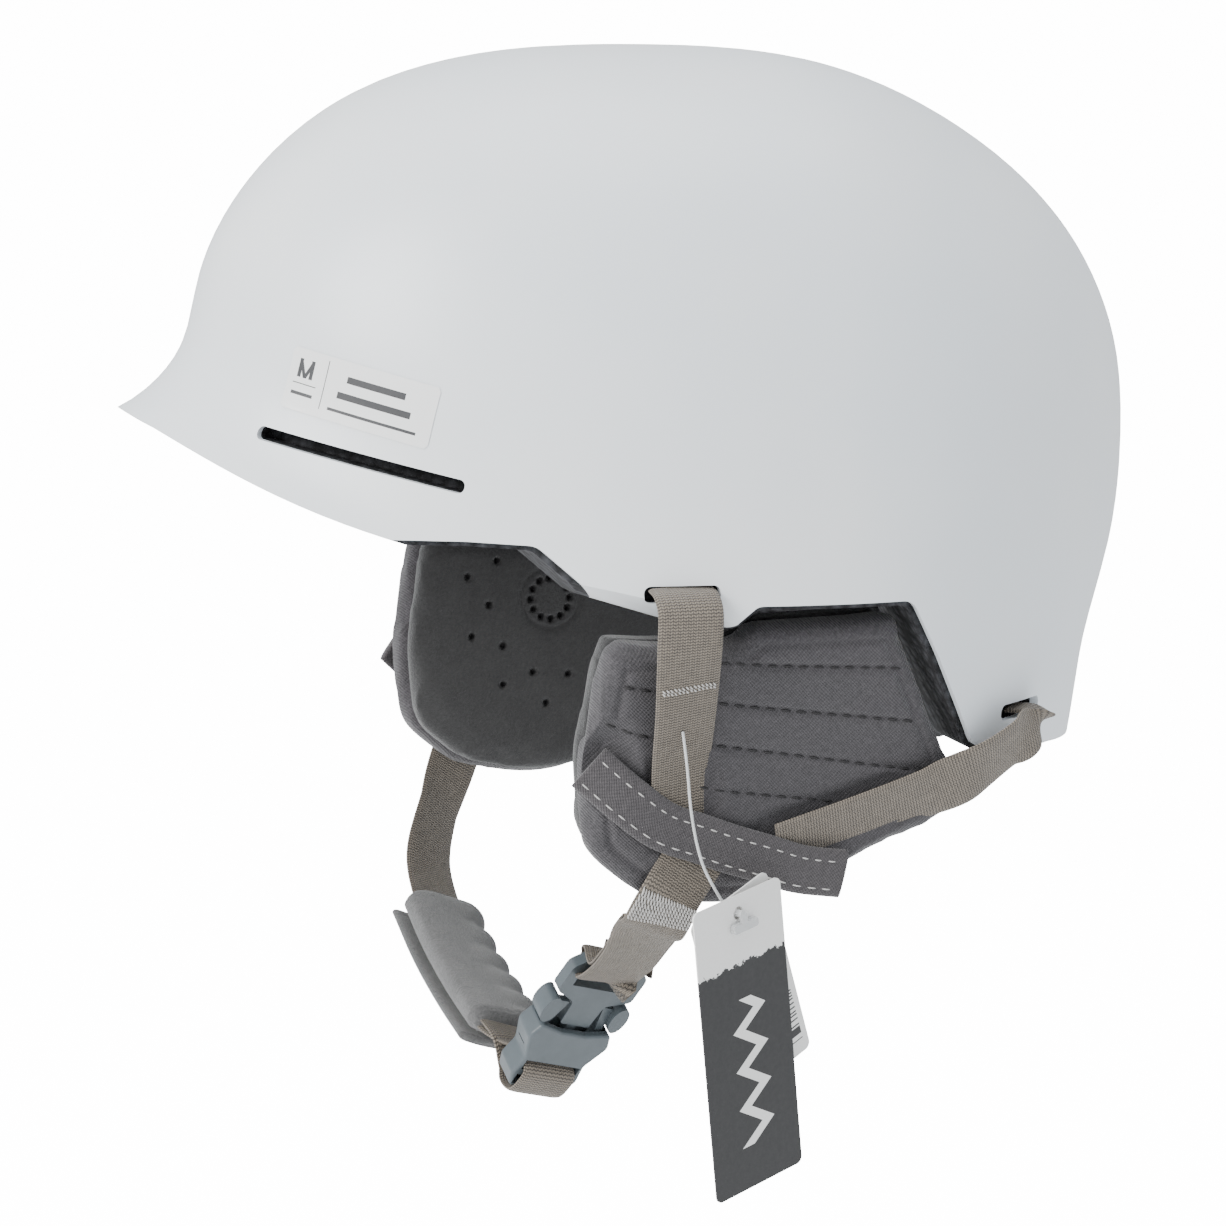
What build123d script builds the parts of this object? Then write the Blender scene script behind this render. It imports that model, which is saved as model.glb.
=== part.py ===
from build123d import *
import os
from math import cos, pi, radians, sin, sqrt, tan

# Ski helmet for a 55-59 cm head, in millimetres.
# X points to the wearer's left, -Y is the front, +Z is up.
# The origin is at the middle of the head opening, level with the tops of the ears.

# ---- driving dimensions ----
HALF_WIDTH = 110.5         # outer shell, middle to its widest point
SHELL = 2.5                # outer shell wall
FIT = 0.4                  # room between the shell and the foam liner
WEB_WIDTH = 18.0           # strap webbing
WEB_THICK = 1.6
CAVITY_HALF_WIDTH = 84.0   # inside of the liner
PAD_THICK = 5.6            # comfort padding inside the liner
EAR_TILT = 7.0             # ear pads lean in towards the jaw, degrees
EAR_OUTER = 11.0           # ear pad, fabric and foam
EAR_LINING = 7.5           # ear pad, fleece side
FILAMENT = 0.8             # hang tag filament

# middle line of the shell, from the brim's tip over the crown to the nape, as (y, z)
SHELL_LINE = [(-152, 57), (-143, 62.5), (-134, 73), (-128.5, 91.5), (-116, 115.5), (-88.5, 139),
              (-46.5, 152), (0, 153.8), (46.5, 149), (88, 131), (121, 102), (136.5, 68.5),
              (138.4, 48), (135, 14), (127, -14.5), (122, -43), (104, -78)]
SHELL_CROWN = 7            # index of the top point
SHELL_POLE = (12.0, -6.0)  # the sections shrink towards this line along X
BRIM_DROP = 13.0           # how far the brim's corners hang below its tip
PLAN_POWER, FRONT_POWER = 1.9, 2.4

# middle line of the head cavity, front bottom to rear bottom
CAVITY_LINE = [(-100, -60), (-103, 0), (-100, 40), (-90, 72), (-68, 102), (-36, 121), (4, 127),
               (44, 121), (78, 100), (101, 68), (110, 35), (111, 0), (107, -30), (100, -60)]
CAVITY_POLE = (4.0, -30.0)

SECTION_ANGLES = [-86, -78, -66, -52, -36, -18, 0, 18, 36, 52, 66, 78, 86]

# lower edge of the shell in side view: brim corner, strap tab, ear arch, nape
LOWER_EDGE = [(-200, 31), (-80, 30), (-63, 29), (-48, 15), (-39, 8), (-14, 7), (-7, 12.5),
              (37, 11.5), (46, -5), (59, -31), (124, -43), (200, -50)]
LOWER_EDGE_RADII = [8, 6, 5, 5, 4, 3.5, 5, 8, 4, 3]

# side view of an ear pad, in the tilted plane that it lies in
EAR_MID = (86.0, 0.0, -30.0)
EAR_OUTLINE = [(-46, 34), (-51.5, 0), (-49.5, -24), (-34, -37), (-8, -42.5), (18, -37), (52, -21),
               (61, -10), (54.5, -4), (40.5, 28), (36.5, 38.6), (-5, 38.6), (-10, 34)]
EAR_RADII = [5, 30, 14, 20, 40, 30, 8, 3, 5, 5, 3, 3, 2.5]

parts = {}


def keep(name, part):
    part.label = name
    parts[name] = part


def mirrored(part):
    return mirror(part, about=Plane.YZ)


def unit(vector):
    return Vector(*vector).normalized()


def bowl(line, pole, half_width, inset=0.0, drop=0.0, crown=1):
    """Closed dome lofted through sections of one middle line that shrink towards its sides."""
    rays = []
    for y, z in line:
        dy, dz = y - pole[0], z - pole[1]
        scale = 1 - inset / sqrt(dy * dy + dz * dz)
        rays.append((dy * scale, dz * scale))
    with BuildPart() as dome:
        for angle in SECTION_ANGLES:
            q = sin(radians(angle))
            wide = (1 - abs(q) ** PLAN_POWER) ** (1 / PLAN_POWER)
            tall = (1 - abs(q) ** FRONT_POWER) ** (1 / FRONT_POWER)
            sag = drop * 4 * q * q * (1 - q * q)
            row = []
            for index, (dy, dz) in enumerate(rays):
                t = min(index / crown, 1)
                fade = (1 - t) ** 2 * (1 + 2 * t)
                row.append((pole[0] + dy * wide, pole[1] + dz * tall - fade * sag))
            with BuildSketch(Plane.YZ.offset((half_width - inset) * q)):
                with BuildLine():
                    Spline(*row)
                    Polyline(row[-1], pole, row[0])
                make_face()
        loft()
    return dome.part


def shell_bowl(inset):
    return bowl(SHELL_LINE, SHELL_POLE, HALF_WIDTH, inset, BRIM_DROP, SHELL_CROWN)


def cavity_bowl(inset):
    return bowl(CAVITY_LINE, CAVITY_POLE, CAVITY_HALF_WIDTH, inset)


def below_edge(drop):
    """Everything under the lower edge, moved down by drop and out of the ear arch."""
    with BuildPart() as block:
        with BuildSketch(Plane.YZ.offset(-130)):
            with BuildLine():
                edge = FilletPolyline(*LOWER_EDGE, radius=LOWER_EDGE_RADII)
                Polyline(edge @ 1, (200, -150), (-200, -150), edge @ 0)
            make_face()
            if drop:
                offset(amount=-drop, kind=Kind.INTERSECTION)
        extrude(amount=260)
    return block.part


def ribbon(points, widths, width=WEB_WIDTH, thick=WEB_THICK):
    """Flat webbing along a path. widths gives the width direction at each point."""
    points = [Vector(*p) for p in points]
    with BuildPart() as web:
        for index, point in enumerate(points):
            before = points[max(index - 1, 0)]
            after = points[min(index + 1, len(points) - 1)]
            along = (after - before).normalized()
            across = Vector(*widths[index])
            across = (across - along * across.dot(along)).normalized()
            with BuildSketch(Plane(origin=point, x_dir=across, z_dir=along)):
                Rectangle(width, thick)
        loft(ruled=True)
    return web.part


# ---- places of the shell's openings ----
def along_and_out(start, end, outward):
    """A plane at the middle of start and end, x along them and z outward."""
    start, end = Vector(*start), Vector(*end)
    along = (end - start).normalized()
    out = unit(outward)
    out = (out - along * out.dot(along)).normalized()
    return Plane(origin=(start + end) / 2, x_dir=along, z_dir=out)


SIDE_VENT = along_and_out((44, -125, 55.5), (84, -79, 43.5), (0.75, -0.66, 0.1))
SIDE_VENT_LENGTH = 61.0
SIDE_VENT_HEIGHT = 3.6
REAR_VENT_HEIGHTS = (50.0, 66.0)
REAR_VENT = (46.0, 5.0)
STRAP_SLOT_Y = -27.0
STRAP_SLOT_Z = 16.3
STRAP_SLOT = (20.0, 4.4)
REAR_SLOT = Plane(origin=(86, 77, -24), x_dir=(-0.70, 0.71, 0), z_dir=(0.71, 0.70, 0))
ANCHOR_FRONT = Plane(origin=(101.2, STRAP_SLOT_Y, 27), x_dir=(0, 1, 0), z_dir=(1, 0, 0))
ANCHOR_REAR = Plane(origin=(80, 72, -14), x_dir=(-0.70, 0.71, 0), z_dir=(0.71, 0.70, 0))
ANCHOR_LENGTH = 14.0
ANCHOR_RADIUS = 4.0


def slot_cutter(plane, length, height, depth, back):
    with BuildPart() as cutter:
        with BuildSketch(plane.offset(-back)):
            RectangleRounded(length, height, height * 0.45)
        extrude(amount=back + depth)
    return cutter.part


def outer_openings(deep):
    """Cutters for both sides: vents and strap slots, deep behind the surface."""
    cutters = []
    front_slot = Plane(origin=(107, STRAP_SLOT_Y, STRAP_SLOT_Z), x_dir=(0, 1, 0), z_dir=(1, 0, 0))
    for plane, size in ((SIDE_VENT, (SIDE_VENT_LENGTH, SIDE_VENT_HEIGHT)),
                        (front_slot, STRAP_SLOT),
                        (REAR_SLOT, STRAP_SLOT)):
        cutter = slot_cutter(plane, *size, depth=12, back=deep)
        cutters += [cutter, mirrored(cutter)]
    for height in REAR_VENT_HEIGHTS:
        back = Plane(origin=(0, 137, height), x_dir=(1, 0, 0), z_dir=(0, 1, 0))
        cutters.append(slot_cutter(back, *REAR_VENT, depth=14, back=deep + 3))
    return cutters


# ---- helmet body ----
with BuildPart() as outer_shell:
    add(shell_bowl(0))
    add(shell_bowl(SHELL), mode=Mode.SUBTRACT)
    add(below_edge(0), mode=Mode.SUBTRACT)
    for cutter in outer_openings(8):
        add(cutter, mode=Mode.SUBTRACT)
keep("outer_shell", outer_shell.part)

cavity = cavity_bowl(0)


def anchor(plane, room=0.0):
    with BuildPart() as post:
        with BuildSketch(plane.offset(-ANCHOR_LENGTH)):
            Circle(ANCHOR_RADIUS + room)
        extrude(amount=ANCHOR_LENGTH)
    return post.part


with BuildPart() as eps_liner:
    add(shell_bowl(SHELL + FIT))
    add(cavity, mode=Mode.SUBTRACT)
    add(below_edge(1.5), mode=Mode.SUBTRACT)
    for cutter in outer_openings(8):
        add(cutter, mode=Mode.SUBTRACT)
    for plane in (ANCHOR_FRONT, ANCHOR_REAR):
        pocket = anchor(plane, 0.2)
        add(pocket, mode=Mode.SUBTRACT)
        add(mirrored(pocket), mode=Mode.SUBTRACT)
keep("eps_liner", eps_liner.part)

for name, plane in (("front_strap_anchors", ANCHOR_FRONT), ("rear_strap_anchors", ANCHOR_REAR)):
    post = anchor(plane)
    keep(name, Compound(children=[post, mirrored(post)]))

# ---- comfort padding, cut from one layer against the cavity ----
with BuildPart() as layer:
    add(cavity_bowl(0.5))
    add(cavity_bowl(0.5 + PAD_THICK), mode=Mode.SUBTRACT)


def padding(plane, sketch, depth):
    with BuildPart() as pad:
        with BuildSketch(plane):
            add(sketch)
        extrude(amount=depth)
        add(layer.part, mode=Mode.INTERSECT)
    return pad.part


with BuildSketch() as brow_shape:
    RectangleRounded(116, 17, 6)
keep("brow_pad", padding(Plane(origin=(0, -60, 53), x_dir=(1, 0, 0), z_dir=(0, -1, 0)),
                         brow_shape.sketch, 60))

with BuildSketch() as cross_shape:
    RectangleRounded(34, 150, 12)
    RectangleRounded(110, 34, 12)
    fillet(cross_shape.vertices().sort_by(lambda v: abs(v.X) + abs(v.Y))[0:4], 8)
keep("crown_pad", padding(Plane.XY.offset(60), cross_shape.sketch, 90))

with BuildSketch() as temple_shape:
    RectangleRounded(74, 20, 8)
side_pad = padding(Plane(origin=(40, 8, 36), x_dir=(0, 1, 0), z_dir=(1, 0, 0)),
                   temple_shape.sketch, 60)
keep("side_pad_left", side_pad)
keep("side_pad_right", mirrored(side_pad))

# ---- fit cradle at the nape ----
CRADLE_MID = (0.0, 20.0)
CRADLE_RADIUS = 72.0
CRADLE_THICK = 2.2
CRADLE_LOW, CRADLE_HEIGHT = -37.0, 24.0
PRONG_X = 27.0


def arc_band(radius, thick, spread, low, height, rounding=0.0):
    """Upright band round the back of the head, spread degrees each side of the middle."""
    with BuildPart() as band:
        with BuildSketch(Plane.XY.offset(low)):
            with BuildLine(Location((CRADLE_MID[0], CRADLE_MID[1], 0))):
                outer = CenterArc((0, 0), radius + thick, 90 - spread, 2 * spread)
                inner = CenterArc((0, 0), radius, 90 - spread, 2 * spread)
                Line(outer @ 0, inner @ 0)
                Line(outer @ 1, inner @ 1)
            make_face()
        extrude(amount=height)
        if rounding:
            ends = band.edges().filter_by(lambda e: e.length < thick + 0.1)
            fillet(ends, rounding)
    return band.part


def prong(room):
    length = 16.0
    with BuildPart() as bar:
        with BuildSketch(Plane(origin=(PRONG_X, 88, -25), x_dir=(1, 0, 0), z_dir=(0, 1, 0))):
            Rectangle(7 + 2 * room, 3 + 2 * room)
        extrude(amount=length + room * 30)
    return bar.part


guide_bar = prong(0)
with BuildPart() as fit_cradle:
    add(arc_band(CRADLE_RADIUS, CRADLE_THICK, 55, CRADLE_LOW, CRADLE_HEIGHT, 5))
    with BuildSketch(Plane(origin=(0, 60, -25), x_dir=(1, 0, 0), z_dir=(0, 1, 0))):
        with GridLocations(38, 0, 2, 1):
            RectangleRounded(13, 10, 3)
    extrude(amount=60, mode=Mode.SUBTRACT)
    add(guide_bar)
    add(mirrored(guide_bar))
keep("fit_cradle", fit_cradle.part)

with BuildPart() as guide:
    with BuildSketch(Plane(origin=(PRONG_X, 98.5, -25), x_dir=(1, 0, 0), z_dir=(0, 1, 0))):
        RectangleRounded(13, 8, 1.5)
    extrude(amount=9)
    add(prong(0.3), mode=Mode.SUBTRACT)
with BuildPart() as guide_pocket:
    with BuildSketch(Plane(origin=(PRONG_X, 96, -25), x_dir=(1, 0, 0), z_dir=(0, 1, 0))):
        Rectangle(13.4, 8.4)
    extrude(amount=15)
guide_room = guide_pocket.part
with BuildPart() as liner_with_guides:
    add(parts["eps_liner"])
    add(guide_room, mode=Mode.SUBTRACT)
    add(mirrored(guide_room), mode=Mode.SUBTRACT)
keep("eps_liner", liner_with_guides.part)
keep("cradle_guides", Compound(children=[guide.part, mirrored(guide.part)]))

keep("nape_pad", arc_band(CRADLE_RADIUS - 6.2, 6.0, 40, CRADLE_LOW + 1.5, CRADLE_HEIGHT - 3, 3))
keep("elastic_band", arc_band(CRADLE_RADIUS + CRADLE_THICK + 0.3, 1.2, 13, -19.5, 6))

# ---- ear pads ----
ear_z = (cos(radians(EAR_TILT)), 0, -sin(radians(EAR_TILT)))
EAR_PLANE = Plane(origin=EAR_MID, x_dir=(0, 1, 0), z_dir=ear_z)


def ear_slab(low, high, shrink, rounding):
    with BuildPart() as slab:
        with BuildSketch(EAR_PLANE.offset(low)):
            with BuildLine():
                FilletPolyline(*EAR_OUTLINE, radius=EAR_RADII, close=True)
            make_face()
            if shrink:
                offset(amount=-shrink)
        extrude(amount=high - low)
        rim = slab.faces().sort_by(Axis(EAR_MID, ear_z))[-1 if rounding > 0 else 0]
        fillet(rim.edges(), abs(rounding))
    return slab.part


ear_pad = ear_slab(0, EAR_OUTER, 0, 2.2)
ear_lining = ear_slab(-EAR_LINING - 0.3, -0.3, 1.5, -1.6)


def on_ear(y, z, lift):
    """A point on the ear pad's plane, lift above its outer face."""
    depth = EAR_OUTER + lift
    rise = (z - EAR_MID[2] + depth * sin(radians(EAR_TILT))) / cos(radians(EAR_TILT))
    x = EAR_MID[0] + rise * sin(radians(EAR_TILT)) + depth * cos(radians(EAR_TILT))
    return (x, y, z)


# fabric band over the two straps, from the pad's front edge to its lower rear
SLEEVE_PATH = [(-46, -31), (-36, -38.5), (-20, -46), (0, -51), (20, -57), (34, -62)]
sleeve_points = [on_ear(y, z, 4.2) for y, z in SLEEVE_PATH]
strap_sleeve = ribbon(sleeve_points, [(0.12, 0.35, 1)] * len(SLEEVE_PATH), 13, 2)

for name, part in (("ear_pad", ear_pad), ("ear_lining", ear_lining),
                   ("strap_sleeve", strap_sleeve)):
    keep(name + "_left", part)
    keep(name + "_right", mirrored(part))

# ---- straps on the shell ----
FRONT_STRAP = [(104.6, STRAP_SLOT_Y, 17.5), (109.5, STRAP_SLOT_Y, 16.2),
               (112.6, STRAP_SLOT_Y, 12.5), (112.2, STRAP_SLOT_Y, 4),
               (106, -26.5, -14), on_ear(-26, -34, 1.3), on_ear(-26, -43, 1.3)]
front_strap = ribbon(FRONT_STRAP, [(0, 1, 0)] * len(FRONT_STRAP))
REAR_STRAP = [(84.5, 75.5, -24), (90, 80.5, -24.3), (94, 80, -27), (97.3, 72, -31),
              (101.5, 60, -35), on_ear(48, -38.5, 2.8), on_ear(28, -45, 1.8), on_ear(2, -53, 1.4)]
REAR_WIDTHS = [(-0.7, 0.7, 0.1), (-0.7, 0.7, 0.1), (-0.4, 0.4, 0.8)]
REAR_WIDTHS += [(0.11, 0.3, 0.9)] * 5
rear_strap = ribbon(REAR_STRAP, REAR_WIDTHS)
for name, part in (("front_strap", front_strap), ("rear_strap", rear_strap)):
    keep(name + "_left", part)
    keep(name + "_right", mirrored(part))

# ---- side-release buckle, x across, y towards the tongue's loop, z outward ----
BUCKLE_AT = (19.5, -39.0, -132.6)
BUCKLE_ALONG = unit((0.449, 0.384, 0.806))
BUCKLE_ACROSS = unit((-0.263, 0.916, -0.291))
buckle_out = BUCKLE_ACROSS.cross(BUCKLE_ALONG)
BUCKLE = Plane(origin=BUCKLE_AT, x_dir=BUCKLE_ACROSS, z_dir=buckle_out)
BODY_HALF = 4.6
POCKET_HALF = 2.3
TONGUE_HALF = 1.9
ARM_X, ARM_Y = 9.6, 20.0

with BuildPart() as buckle_socket:
    with BuildSketch(BUCKLE.offset(-BODY_HALF)):
        with BuildLine():
            FilletPolyline((-9.5, -6), (9.5, -6), (11.5, -1), (10.5, 5), (14, 13), (12, 18),
                           (4.2, 16.2), (-4.2, 16.2), (-12, 18), (-14, 13), (-10.5, 5),
                           (-11.5, -1), radius=[2, 2, 2, 3, 3, 1.5, 1, 1, 1.5, 3, 3, 2],
                           close=True)
        make_face()
    extrude(amount=2 * BODY_HALF)
    rims = buckle_socket.faces().sort_by(Axis(BUCKLE_AT, tuple(buckle_out)))
    fillet(rims[0].edges() + rims[-1].edges(), 0.9)
    with BuildSketch(BUCKLE.offset(-POCKET_HALF)):
        with Locations((0, 15)):
            Rectangle(24.0, 14)
    extrude(amount=2 * POCKET_HALF, mode=Mode.SUBTRACT)
    with BuildSketch(BUCKLE.offset(-BODY_HALF - 1)):
        with Locations((0, -3.0), (0, 2.6)):
            Rectangle(WEB_WIDTH + 0.8, 3.6)
    extrude(amount=2 * BODY_HALF + 2, mode=Mode.SUBTRACT)
keep("buckle_socket", buckle_socket.part)

LOOP_FRAME = [(-5, 17.5), (5, 17.5), (5.5, 26), (13, 29), (13, 38), (9, 42), (-9, 42), (-13, 38),
              (-13, 29), (-5.5, 26)]
with BuildPart() as buckle_tongue:
    with BuildSketch(BUCKLE.offset(-TONGUE_HALF)):
        with BuildLine():
            FilletPolyline(*LOOP_FRAME, radius=[1, 1, 2, 2, 3, 3, 3, 3, 2, 2], close=True)
        make_face()
        with Locations((0, 34.4)):
            Rectangle(WEB_WIDTH + 0.8, 5.2, mode=Mode.SUBTRACT)
    extrude(amount=2 * TONGUE_HALF)
    with BuildSketch(BUCKLE.offset(-1.2)):
        with Locations((0, 13.5)):
            Rectangle(3.2, 9)
    extrude(amount=2.4)
keep("buckle_tongue", buckle_tongue.part)


def buckle_arm(side):
    """Springy arm: a thin leg from its root by the loop, and the oval that the thumb presses."""
    with BuildPart() as arm:
        with BuildSketch(BUCKLE.offset(-1.3)):
            with BuildLine():
                Polyline((side * 6.0, 25.2), (side * 9.4, 25.2), (side * 10.4, 17), (side * 9.4, 11),
                         (side * 7.8, 11), (side * 8.0, 17), close=True)
            make_face()
        extrude(amount=2.6)
        with BuildSketch(BUCKLE.offset(-3.4)):
            with Locations((side * (ARM_X + 2.4), ARM_Y + 2.8)):
                Ellipse(2.6, 4.6)
        extrude(amount=6.8)
    return arm.part


keep("buckle_arm_front", buckle_arm(-1))
keep("buckle_arm_rear", buckle_arm(1))


def buckle_point(x, y, z):
    """A place in the buckle's own frame, in the helmet's frame."""
    return tuple(BUCKLE.from_local_coords(Vector(x, y, z)))


# ---- chin straps ----
ACROSS = tuple(BUCKLE_ACROSS)
LEFT_CHIN = [on_ear(-25, -46, 1.4), on_ear(-25, -56, 1.5), on_ear(-26, -65, 2.6), (89.5, -26.5, -76),
             (78, -26.5, -81), (66, -25.5, -88), (51, -25.5, -98), (41, -26.5, -103.5),
             buckle_point(0, 33.5, 5.0)]
LEFT_WIDTHS = [(0, 1, 0), (0, 1, -0.15), (0, 1, -0.3), (-0.1, 0.95, -0.4), (-0.2, 0.9, -0.4)]
LEFT_WIDTHS += [ACROSS] * 4
keep("left_chin_strap", ribbon(LEFT_CHIN, LEFT_WIDTHS))

PAD_WIDTH = (0.206, 0.697, 0.683)
MID_WIDTH = (0.12, 0.9, 0.42)
right_start = [(-x, y, z) for x, y, z in (on_ear(-25, -46, 1.4), on_ear(-27, -57, 1.5))]
CHIN_PAD_PATH = [(-62.6, -45.5, -104.8), (-42, -45.3, -113.5), (-20, -44.5, -120.5),
                 (2, -43.5, -126)]
RIGHT_CHIN = right_start + [(-94.2, -31, -67), (-87, -38, -80), (-76, -44.5, -94)]
RIGHT_CHIN += CHIN_PAD_PATH + [(9, -42.5, -128.8), buckle_point(0, -3.0, -5.8)]
RIGHT_WIDTHS = [(0, 1, 0), (0, 1, 0), (0, 1, 0), (0, 1, 0), (0, 1, 0), (0.05, 0.98, 0.15),
                MID_WIDTH, (0.17, 0.8, 0.56), PAD_WIDTH, (0, 0.9, 0.3), ACROSS]
keep("right_chin_strap", ribbon(RIGHT_CHIN, RIGHT_WIDTHS))

PAD_WIDTHS = RIGHT_WIDTHS[5:9]
CHIN_PAD_SIZE = (26.0, 11.0)
CHIN_PAD_BORE = (20.0, 4.4)
with BuildPart() as chin_pad:
    add(ribbon(CHIN_PAD_PATH, PAD_WIDTHS, *CHIN_PAD_SIZE))
    add(ribbon(CHIN_PAD_PATH, PAD_WIDTHS, *CHIN_PAD_BORE), mode=Mode.SUBTRACT)
keep("chin_pad", chin_pad.part)


def beside(points, widths, shift, lift):
    """The path moved across by shift and off its face by lift."""
    moved = []
    for index, point in enumerate(points):
        ahead = Vector(*points[min(index + 1, len(points) - 1)])
        along = (ahead - Vector(*points[max(index - 1, 0)])).normalized()
        across = Vector(*widths[index])
        across = (across - along * across.dot(along)).normalized()
        face = along.cross(across)
        moved.append(tuple(Vector(*point) + across * shift + face * lift))
    return moved


flap_path = beside(CHIN_PAD_PATH, PAD_WIDTHS, -8.5, -7.2)
keep("chin_pad_flap", ribbon(flap_path, PAD_WIDTHS, 17, 2.4))

# ---- size sticker, a thin label that follows the shell on the left front ----
STICKER = Plane(origin=(61, -100.5, 65.5), x_dir=(0.703, 0.681, -0.198),
                z_dir=(0.683, -0.66, 0.155))
with BuildPart() as size_sticker:
    with BuildSketch(STICKER.offset(-14)):
        RectangleRounded(45, 16.5, 0.6)
    extrude(amount=40)
    add(shell_bowl(-0.2), mode=Mode.INTERSECT)
    add(shell_bowl(0), mode=Mode.SUBTRACT)
keep("size_sticker", size_sticker.part)

# ---- hang tag ----
TAG_ROUTE = [(104.5, -26.3, -20.5), (108.3, -26.4, -28), (110.6, -26.2, -41),
             (111.6, -23.8, -54), (112.2, -19.9, -61.8), (109.7, -15.5, -68.0)]
TAG_HOLE = Vector(113.6, -13.6, -68.2)
TAG = Plane(origin=TAG_HOLE, x_dir=(-0.429, 0.890, 0.152), z_dir=(0.8976, 0.438, -0.0335))
TAG_SIZE = (33.0, 83.0)
TAG_TOP = 5.0
CARD = 0.5


def route_radii(points, smallest):
    """Largest arc that each corner of a route leaves room for."""
    radii = []
    for a, b, c in zip(points, points[1:], points[2:]):
        first, second = Vector(*b) - Vector(*a), Vector(*c) - Vector(*b)
        turn = radians(first.get_angle(second))
        radii.append(0.45 * min(first.length, second.length) / tan(turn / 2))
    print("tag route radii", [round(r, 1) for r in radii], "smallest allowed", smallest)
    return radii


with BuildPart() as tag_filament:
    with BuildLine() as route:
        FilletPolyline(*TAG_ROUTE, radius=route_radii(TAG_ROUTE, 3 * FILAMENT))
    filament_line = route.wire()
    with BuildSketch(Plane(origin=filament_line @ 0, z_dir=filament_line % 0)):
        Circle(FILAMENT / 2)
    sweep()
filament_section = pi * FILAMENT ** 2 / 4
print("tag filament", round(filament_line.length, 1), "volume over section times length",
      round(tag_filament.part.volume / (filament_section * filament_line.length), 4))
keep("tag_filament", tag_filament.part)


def card(plane, width, length, top, hole):
    with BuildPart() as sheet:
        with BuildSketch(plane):
            with Locations((0, top - length / 2)):
                RectangleRounded(width, length, 2)
            Circle(hole, mode=Mode.SUBTRACT)
        extrude(amount=CARD)
    return sheet.part


keep("tag_card_front", card(TAG.offset(-0.9), *TAG_SIZE, TAG_TOP, 1.8))
lean = radians(12)
back_plane = Plane(origin=TAG_HOLE - TAG.z_dir * 3.2, z_dir=TAG.z_dir,
                   x_dir=TAG.x_dir * cos(lean) + TAG.y_dir * sin(lean))
keep("tag_card_back", card(back_plane, 30, 56, TAG_TOP - 1, 1.8))

with BuildPart() as tag_paddle:
    with BuildSketch(TAG.offset(-0.2)):
        with Locations((1.0, -3.6)):
            RectangleRounded(9, 2.4, 0.8)
    extrude(amount=1.6)
    with BuildSketch(TAG.offset(-4.8)):
        Circle(1.0)
    extrude(amount=6.2)
    with BuildSketch(TAG.offset(0.4)):
        with Locations((0.5, -1.8)):
            Rectangle(2, 4)
    extrude(amount=1.0)
keep("tag_paddle", tag_paddle.part)

# ---- files ----
os.makedirs("parts", exist_ok=True)
for name, part in parts.items():
    export_step(part, f"parts/{name}.step")
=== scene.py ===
import math
import random

import bpy
import numpy as np
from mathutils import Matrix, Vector
from mathutils.bvhtree import BVHTree


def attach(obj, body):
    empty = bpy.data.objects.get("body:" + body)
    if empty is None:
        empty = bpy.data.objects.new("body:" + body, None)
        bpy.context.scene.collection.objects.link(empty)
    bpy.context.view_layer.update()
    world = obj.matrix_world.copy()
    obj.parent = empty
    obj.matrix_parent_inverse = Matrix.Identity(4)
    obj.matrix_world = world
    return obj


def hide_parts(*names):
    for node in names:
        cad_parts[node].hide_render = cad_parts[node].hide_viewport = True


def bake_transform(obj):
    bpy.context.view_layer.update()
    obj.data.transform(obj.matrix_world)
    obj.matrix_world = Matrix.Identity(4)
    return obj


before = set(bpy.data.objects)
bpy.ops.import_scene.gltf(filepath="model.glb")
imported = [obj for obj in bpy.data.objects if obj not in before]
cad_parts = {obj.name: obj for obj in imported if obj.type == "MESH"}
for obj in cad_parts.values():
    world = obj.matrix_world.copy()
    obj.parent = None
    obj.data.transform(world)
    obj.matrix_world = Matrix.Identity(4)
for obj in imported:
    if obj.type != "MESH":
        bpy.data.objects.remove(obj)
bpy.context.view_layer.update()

MM = 0.001
DICE = random.Random(7)

# ---- the ear pads' tilted plane, as the frame has it (mm) ----
EAR_MID = np.array((86.0, 0.0, -30.0))
EAR_TILT = math.radians(7.0)
EAR_OUT = np.array((math.cos(EAR_TILT), 0.0, -math.sin(EAR_TILT)))
EAR_UP = np.array((math.sin(EAR_TILT), 0.0, math.cos(EAR_TILT)))
EAR_OUTER = 11.0
WEB_WIDTH, WEB_THICK = 18.0, 1.5

# ---- the hang cards' plane, from their punched hole (mm) ----
TAG_HOLE = np.array((113.6, -13.6, -68.2))
TAG_OUT = np.array((0.8976, 0.438, -0.0335))
TAG_OUT /= np.linalg.norm(TAG_OUT)
TAG_RIGHT = np.array((-0.429, 0.890, 0.152))
TAG_RIGHT -= TAG_OUT * TAG_RIGHT.dot(TAG_OUT)
TAG_RIGHT /= np.linalg.norm(TAG_RIGHT)
TAG_UP = np.cross(TAG_OUT, TAG_RIGHT)


def on_ear(y, z, lift):
    """A point (mm) on the left ear pad, lift above its outer face, at that y and z."""
    depth = EAR_OUTER + lift
    rise = (z - EAR_MID[2] + depth * math.sin(EAR_TILT)) / math.cos(EAR_TILT)
    return (EAR_MID[0] + rise * math.sin(EAR_TILT) + depth * math.cos(EAR_TILT), y, z)


# ---------------------------------------------------------------- camera and hang tag filament

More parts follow.
